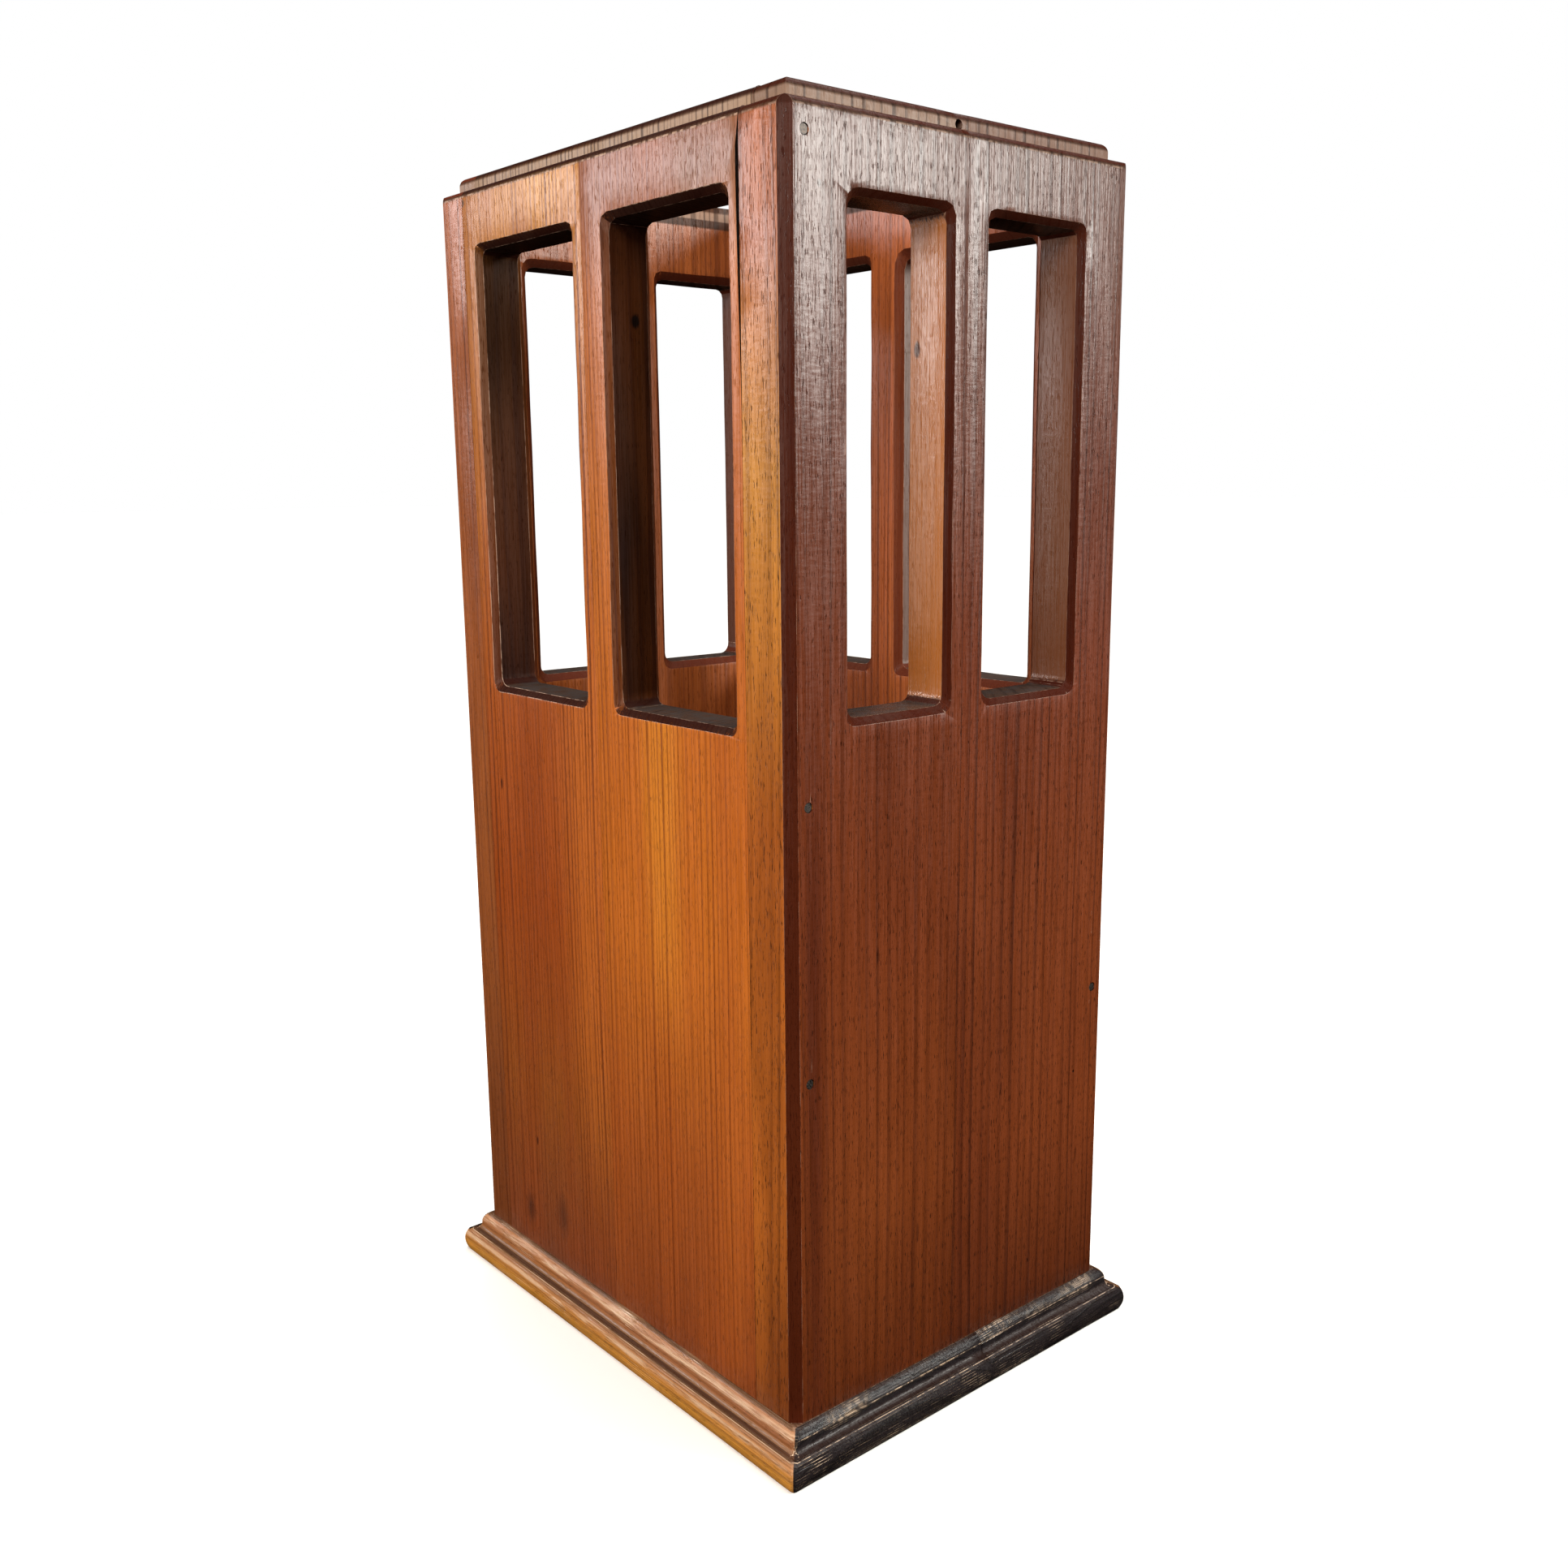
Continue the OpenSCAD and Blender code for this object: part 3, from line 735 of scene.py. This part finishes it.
def varnish(tree, wood, grain, tone, masks):
    # brushed varnish sets in flat ripples, sinks into the pores and stands on the late wood
    ripplePlace = addNode(tree, "VectorMath", (grain["inMm"], varnishRipple), operation="MULTIPLY")
    ripple = addNode(tree, "TexNoise", {"Vector": ripplePlace, "Scale": 1.0, "Detail": 2.0})
    relief = addNode(tree, "Math", (ripple, wood["peel"]), operation="MULTIPLY")
    relief = addNode(tree, "Math", (grain["pore"], -0.7, relief), operation="MULTIPLY_ADD")
    relief = addNode(tree, "Math", (grain["fibre"], wood["fibreRelief"], relief), operation="MULTIPLY_ADD")
    relief = addNode(tree, "Math", (grain["late"], 0.35, relief), operation="MULTIPLY_ADD")
    bump = addNode(tree, "Bump", {"Height": relief, "Strength": 1.0, "Distance": 0.11 * mm})
    dulls = (wood["roughness"] - 0.04, wood["roughness"] + 0.08)
    dull = addNode(tree, "MapRange", (grain["fibre"], 0.3, 0.7, *dulls))
    opened = addNode(tree, "Math", (masks["ends"], masks["cut"]), operation="MAXIMUM")
    dull = addNode(tree, "Math", (opened, wood["endDull"], dull), operation="MULTIPLY_ADD")
    thirsty = addNode(tree, "Math", (masks["ends"], masks["ledge"]), operation="MAXIMUM")
    gloss = addNode(tree, "MapRange", (thirsty, 0.0, 1.0, 0.5, wood["endGloss"]), **softly)
    glossSteps = (
        (masks["slanted"], 0.0, 1.0, 1.0, 0.25),
        (masks["cut"], 0.0, 1.0, 1.0, wood["cutGloss"]),
        (grain["fibre"], 0.36, 0.62, 0.45, 1.15),
        (grain["pore"], 0.0, 1.0, 1.0, 0.3),
    )
    for step in glossSteps:
        share = addNode(tree, "MapRange", step, **softly)
        gloss = addNode(tree, "Math", (gloss, share), operation="MULTIPLY")
    return addNode(tree, "BsdfPrincipled", {"Base Color": tone, "Roughness": dull, "Normal": bump,
                   "Specular IOR Level": gloss, "IOR": 1.5})


# pine boards, planed, stained dark and brushed with gloss varnish: the ring lines and fibres show
# through it, and it gives the faces a soft, slightly rippled sheen
def stainedPine(name, **changes):
    wood = dict(woodDefaults, **changes)
    material = bpy.data.materials.new(name)
    material.use_nodes = True
    tree = material.node_tree
    tree.nodes.clear()
    grain = growPine(tree, wood)
    tone = stainAndShadeFaces(tree, wood, grain)
    tone, masks = stainEndsWithPaintedLight(tree, wood, grain, tone)
    tone = wearAndShadeEdges(tree, wood, grain, tone, masks)
    surface = varnish(tree, wood, grain, tone, masks)
    addNode(tree, "OutputMaterial", {"Surface": surface}, out=None)
    return material


woods = {
    "front_stave_left": {
        "tones": ((0.05, "#683014"), (0.2, "#83401C"), (0.4, "#78381A"), (0.6, "#70341A"),
                  (1.0, "#5E3A2C")),
        "soak": "#5A2610", "late": "#34140A", "lateDepth": 0.5, "cut": "#A8642A", "cutGloss": 1.8,
        "endDull": -0.04, "rim": "#9A7E6C", "pith": (140.0, 40.0), "ring": 4.6, "pores": 0.8, "peel": 0.9,
        "fibreRelief": 1.1, "roughness": 0.3, "edge": "#3E150A", "wornDepth": 0.25, "seed": 1.0,
        "sideTones": ((0.05, "#9A5220"), (0.2, "#C06A26"), (0.5, "#CC7028"), (0.75, "#E29A38"),
                      (0.9, "#B8642A")),
        "patches": (((-95, -140, 170), (9, 14, 270), 0.75, "#4A1C0E"),
                    # a dark patch at the top of the slot's jamb, under its head: painted shade
                    ((-14, -122, 560), (5, 14, 32), 0.9, "#3A1C12")),
        "marks": (((-14.5, -117.9, 501.7), (3, 2.4, 4.5), 0.9, "#34120A"),
                  ((-57, -138, 236), (1.2, 2, 5), 0.6, "#301208"),
                  ((-30, -138, 92), (1, 2, 7), 0.5, "#301208"),
                  ((-90, -138, 560), (1.6, 2, 2.4), 0.7, "#3A2018")),
    },
    "front_stave_right": {
        "tones": ((0.05, "#602C14"), (0.2, "#7E3C1C"), (0.4, "#7A3A1C"), (0.6, "#70341C"),
                  (1.0, "#5C3A2C")),
        "soak": "#5A2612", "late": "#34140A", "lateDepth": 0.6, "cut": "#6E4026", "cutGloss": 1.0,
        "endDull": 0.0, "rim": "#8A6E60", "pith": (-150.0, 30.0), "ring": 4.6, "pores": 0.8, "peel": 0.9,
        "fibreRelief": 1.1, "roughness": 0.3, "edge": "#3E150A", "wornDepth": 0.25, "seed": 2.0,
        "marks": (((52, -138, 262), (1, 2, 6), 0.6, "#301208"),
                  ((28, -138, 150), (1.2, 2, 4), 0.5, "#301208"),
                  ((14, -138, 574), (1.2, 2, 9), 0.6, "#4A1E0E"),
                  ((88, -138, 96), (1, 2, 5), 0.5, "#301208")),
    },
    "back_stave_left": {
        "tones": ((0.0, "#7A4220"), (0.6, "#A45A2A"), (1.0, "#B06230")), "soak": "#6A341A",
        "cut": "#5A3220", "pith": (-160.0, 60.0), "seed": 3.0,
    },
    "back_stave_right": {
        "tones": ((0.0, "#7A4220"), (0.6, "#A45A2A"), (1.0, "#B06230")), "soak": "#6A3016",
        "cut": "#5A3220", "pith": (160.0, 40.0), "seed": 4.0,
    },
    "left_stave_front": {
        "tones": ((0.05, "#8A4420"), (0.2, "#A85622"), (0.38, "#C86E24"), (0.55, "#C66C22"),
                  (0.88, "#BE6E2E"), (0.95, "#8E5E40")),
        # the cut faces inside the left slots: soaked-in stain, darkened to near black as painted shade
        "soak": "#AE561E", "late": "#7A3812", "lateDepth": 0.72, "cut": "#160806", "cutGloss": 0.25,
        "edge": "#2C100A", "rim": "#B89A82", "pith": (20.0, -420.0), "ring": 3.1, "peel": 0.6,
        "seed": 5.0,
        "patches": (((-108, -46, 300), (20, 22, 150), 0.6, "#DE8A2C"),
                    ((-108, -95, 140), (20, 20, 160), 0.4, "#C86E2A")),
        "marks": (((-91.8, -12.9, 518), (3, 2.5, 4), 0.95, "#0C0706"),),
    },
    "left_stave_back": {
        "tones": ((0.05, "#7E4226"), (0.2, "#96501F"), (0.38, "#A04A18"), (0.55, "#AC5620"),
                  (1.0, "#C88434")),
        # the cut faces inside the left slots: soaked-in stain, darkened to near black as painted shade
        "soak": "#92441C", "late": "#6A3012", "lateDepth": 0.7, "cut": "#160806", "cutGloss": 0.25,
        "edge": "#2C100A", "rim": "#B89A82", "pith": (40.0, 460.0), "ring": 3.0, "peel": 0.6, "seed": 6.0,
        "patches": (((-108, 126, 260), (30, 16, 330), 0.3, "#8A3A1C"),
                    ((-108, 40, 585), (20, 50, 26), 0.6, "#E09A38"),
                    ((-108, 90, 44), (8, 7, 15), 0.7, "#30201C"),
                    ((-108, 56, 52), (8, 8, 16), 0.55, "#3C261E"),
                    ((-108, 14, 290), (20, 40, 300), 0.75, "#C66C28")),
        "marks": (((-108, 114, 585), (5, 3, 3), 0.8, "#2A1612"),
                  ((-108, 101, 287), (4, 1.2, 4), 0.8, "#3A1810"),
                  ((-108, 80, 88), (4, 1, 3), 0.8, "#3A1810")),
    },
    "right_stave_front": {
        "tones": ((0.0, "#7E4824"), (0.6, "#A85A2A"), (1.0, "#B4602E")), "soak": "#8A3A1C",
        "cut": "#6B5248", "cutGloss": 1.2, "pith": (-20.0, -340.0), "seed": 7.0,
    },
    "right_stave_back": {
        "tones": ((0.0, "#7A4422"), (0.6, "#A8582A"), (1.0, "#B4602E")), "soak": "#6A341A",
        "cut": "#6B5248", "pith": (-30.0, 350.0), "seed": 8.0,
    },
    "base_board_left": {
        "tones": ((0.008, "#D8963C"), (0.022, "#9C6440")), "soak": "#A8682E", "late": "#7A4822",
        "end": "#1F1A1B", "edge": "#C89468", "edgeDepth": 0.3, "worn": "#E2C4A4", "wornDepth": 0.7,
        "pith": (-60.0, -160.0), "ring": 5.0, "alongY": True, "rubLength": 34, "endGloss": 0.3,
        "endDull": -0.04, "seed": 9.0,
    },
    "base_board_right": {
        "tones": ((0.0, "#B07A40"), (0.04, "#A8723E")), "soak": "#8E5C30", "late": "#6A4020",
        "end": "#1D1819", "edge": "#8A5E3A", "edgeDepth": 0.3, "worn": "#D8BCA2", "wornDepth": 0.7,
        "pith": (120.0, -170.0), "ring": 5.0, "alongY": True, "rubLength": 34, "endGloss": 0.3,
        "endDull": -0.04, "seed": 10.0,
    },
}
for node, changes in woods.items():
    pieces[node].data.materials.clear()
    pieces[node].data.materials.append(stainedPine("stained pine, " + node.replace("_", " "), **changes))


def nailSteel(name):  # mild steel wire nails, blackened and stained over
    material = bpy.data.materials.new(name)
    material.use_nodes = True
    tree = material.node_tree
    tree.nodes.clear()
    place = addNode(tree, "TexCoord", out="Object")
    inMm = addNode(tree, "VectorMath", (place, (1000, 1000, 1000)), operation="MULTIPLY")
    grit = addNode(tree, "TexNoise", {"Vector": inMm, "Scale": 1.2, "Detail": 3.0})
    tone = addNode(tree, "ValToRGB", (grit,), stops=((0.3, "#2A2624"), (0.55, "#5C5652"), (0.75, "#7A6A5E")))
    rough = addNode(tree, "MapRange", (grit, 0.0, 1.0, 0.35, 0.7))
    bump = addNode(tree, "Bump", {"Height": grit, "Strength": 0.4, "Distance": 0.1 * mm})
    surface = addNode(tree, "BsdfPrincipled", {"Base Color": tone, "Metallic": 1.0, "Roughness": rough,
                      "Normal": bump})
    addNode(tree, "OutputMaterial", {"Surface": surface}, out=None)
    return material


steel = nailSteel("mild steel nail")
for node in ("front_nails", "back_nails", "base_nails"):
    nail = frame["nodes"][node]
    nail.data.materials.clear()
    nail.data.materials.append(steel)

print("stage: floor and lights")
bpy.ops.object.select_all(action="DESELECT")
bpy.ops.mesh.primitive_plane_add(size=60, location=(0, 0, -0.2 * mm))
floor = bpy.context.active_object
floor.name = "studioFloor"
bpy.ops.object.transform_apply(location=True, rotation=True, scale=True)
paper = bpy.data.materials.new("pale studio paper")
paper.use_nodes = True
paperTree = paper.node_tree
paperTree.nodes.clear()
paperPlace = addNode(paperTree, "TexCoord", out="Object")
paperNoise = addNode(paperTree, "TexNoise", {"Vector": paperPlace, "Scale": 3.0})
paperTone = addNode(paperTree, "ValToRGB", (paperNoise,), stops=((0.3, "#F4F3F1"), (0.7, "#F8F7F5")))
paperSurface = addNode(paperTree, "BsdfPrincipled", {"Base Color": paperTone, "Roughness": 0.9,
                       "Specular IOR Level": 0.1})
addNode(paperTree, "OutputMaterial", {"Surface": paperSurface}, out=None)
floor.data.materials.append(paper)
floor.visible_glossy = False
floor.visible_diffuse = False

world = bpy.data.worlds.new("studio")
bpy.context.scene.world = world
world.use_nodes = True
world.node_tree.nodes["Background"].inputs["Color"].default_value = hexColour("#FFFFFF")
world.node_tree.nodes["Background"].inputs["Strength"].default_value = 1.0
world.cycles_visibility.glossy = False
world.cycles_visibility.diffuse = False
bpy.context.scene.view_settings.view_transform = "Standard"

sky = bpy.data.lights.new("sky", "SUN")
sky.energy = 4.0
sky.angle = math.radians(70)
sky.color = hexColour("#FFFDFA")[:3]
skyObject = bpy.data.objects.new("sky", sky)
bpy.context.scene.collection.objects.link(skyObject)
skyObject.matrix_world = Matrix.Rotation(math.radians(12), 4, "Y")

# place, target, size across, size up, watts, colour
panels = {
    "keyLeft": ((-1700, -450, 800), (0, 0, 300), 1000, 1300, 22, "#FFF6EA"),
    "frontLeft": ((-1150, -1300, 1500), (-60, -100, 330), 700, 800, 17, "#FFF6EC"),
    "sheenLeft": ((-1340, 1640, 1010), (-108, -60, 580), 420, 240, 10, "#F6F8FF"),
    "sheenJamb": ((-1340, 1170, 760), (-14, -124, 525), 110, 260, 5, "#FFF8F4"),
    "sheenFront": ((880, -1304, 880), (-80, -138, 545), 240, 400, 23, "#F8F8F2"),
    "well": ((-76, 0, 480), (108, 0, 480), 190, 220, 0.12, "#FFF2E4"),
    "sheenTop": ((1180, -1304, 1060), (-20, -138, 592), 200, 120, 0.9, "#F8F6EE"),
    "edgeRight": ((1930, -1304, 550), (106, -138, 470), 240, 1100, 0.9, "#FFF4F2"),
}
for name, (at, target, across, up, watts, code) in panels.items():
    light = bpy.data.lights.new(name, "AREA")
    light.shape = "RECTANGLE"
    light.size = across * mm
    light.size_y = up * mm
    light.energy = watts
    light.color = hexColour(code)[:3]
    lightObject = bpy.data.objects.new(name, light)
    bpy.context.scene.collection.objects.link(lightObject)
    aim = (Vector(target) - Vector(at)).to_track_quat("-Z", "Y").to_matrix().to_4x4()
    lightObject.matrix_world = Matrix.Translation(Vector(at) * mm) @ aim

print("stage: finish")
